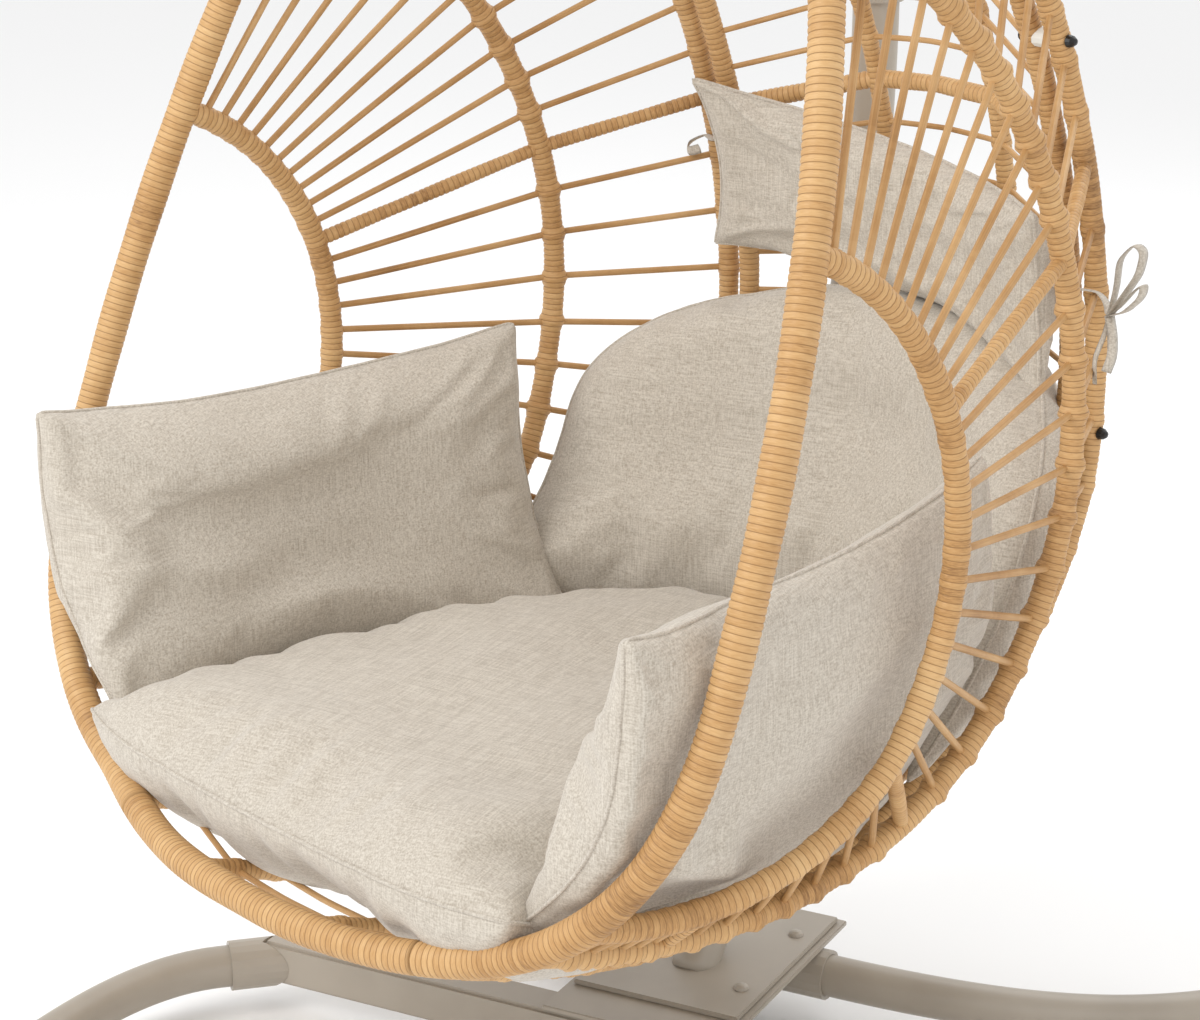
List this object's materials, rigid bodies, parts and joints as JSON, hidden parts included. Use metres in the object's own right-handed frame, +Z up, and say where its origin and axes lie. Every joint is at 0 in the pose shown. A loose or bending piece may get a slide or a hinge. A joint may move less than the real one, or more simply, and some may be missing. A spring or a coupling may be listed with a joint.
{
  "type": "hanging egg chair",
  "caption": "Wicker egg-shaped hanging seat with loose cushions, hung by a swivel and a spring from a curved four-legged steel stand.",
  "frame": {"origin": "on the floor under the middle of the whole chair's bounding box", "axes": "+X right as seen from in front of the stand, +Y backwards to the pole, +Z up"},
  "size_m": [1.254, 1.2323, 2],
  "materials": {
    "powder_coated_steel": "satin taupe powder coat, smooth, faintly mottled",
    "honey_wicker": "honey tan synthetic rattan strand, satin, wrapped in close rings over steel tube",
    "woven_linen": "greige slub-woven cushion cover, matt",
    "zinc_steel": "bright zinc plate with soft highlights",
    "black_nylon": "black moulded cap, semi-gloss",
    "milky_nylon": "off-white moulded saddle, matt",
    "grey_rubber": "dull dark rubber pad"
  },
  "bodies": {
    "stand": {"cross_beam": "powder_coated_steel", "rear_tube": "powder_coated_steel", "front_socket_left": "powder_coated_steel", "front_socket_right": "powder_coated_steel", "base_plate": "powder_coated_steel", "flange_plate": "powder_coated_steel", "front_leg_left": "powder_coated_steel", "front_leg_right": "powder_coated_steel", "rear_leg_left": "powder_coated_steel", "rear_leg_right": "powder_coated_steel", "front_foot_left": "grey_rubber", "front_foot_right": "grey_rubber", "rear_foot_left": "grey_rubber", "rear_foot_right": "grey_rubber", "flange_bolt_1": "powder_coated_steel", "flange_bolt_2": "powder_coated_steel", "flange_bolt_3": "powder_coated_steel", "flange_bolt_4": "powder_coated_steel", "lower_pole": "powder_coated_steel", "upper_pole": "powder_coated_steel", "pole_collar": "powder_coated_steel", "pole_end_cap": "black_nylon", "hook_eye": "zinc_steel"},
    "link": {"top_link": "zinc_steel"},
    "swivel_top": {"swivel_upper": "zinc_steel"},
    "swivel_body": {"swivel_lower": "zinc_steel"},
    "basket": {"spring": "zinc_steel", "basket_eye": "zinc_steel", "rim_hoop": "honey_wicker", "rim_sill": "honey_wicker", "inner_arch_left": "honey_wicker", "inner_arch_right": "honey_wicker", "strand_panel_left": "honey_wicker", "strand_panel_right": "honey_wicker", "edge_tube_left": "honey_wicker", "edge_tube_right": "honey_wicker", "back_tube_left": "honey_wicker", "back_tube_right": "honey_wicker", "back_panel": "honey_wicker", "panel_bolt_left_1": "black_nylon", "panel_bolt_left_2": "black_nylon", "panel_bolt_left_3": "black_nylon", "panel_bolt_right_1": "black_nylon", "panel_bolt_right_2": "black_nylon", "panel_bolt_right_3": "black_nylon", "saddle_left_1": "milky_nylon", "saddle_left_2": "milky_nylon", "saddle_left_3": "milky_nylon", "saddle_right_1": "milky_nylon", "saddle_right_2": "milky_nylon", "saddle_right_3": "milky_nylon", "seat_cushion": "woven_linen", "back_cushion": "woven_linen", "left_wing": "woven_linen", "right_wing": "woven_linen", "headrest_pillow": "woven_linen"}
  },
  "joints": [
    {"name": "swing_fore_aft", "type": "hinge", "parent": "stand", "child": "link", "pos_m": [0, -0.055, 1.918], "axis": [1, 0, 0], "range_deg": [-14, 0.5]},
    {"name": "swing_sideways", "type": "hinge", "parent": "link", "child": "swivel_top", "pos_m": [0, -0.055, 1.86488], "axis": [0, 1, 0], "range_deg": [-5, 5]},
    {"name": "basket_swivel", "type": "hinge", "parent": "swivel_top", "child": "swivel_body", "pos_m": [0, -0.055, 1.83677], "axis": [0, 0, 1], "range_deg": [-40, 80]},
    {"name": "spring_travel", "type": "slide", "parent": "swivel_body", "child": "basket", "axis": [0, 0, 1], "range_m": [-0.03, 0.006], "stiffness_N_per_m": 28000, "springref_m": 0.01676, "deforming": ["spring"]}
  ]
}
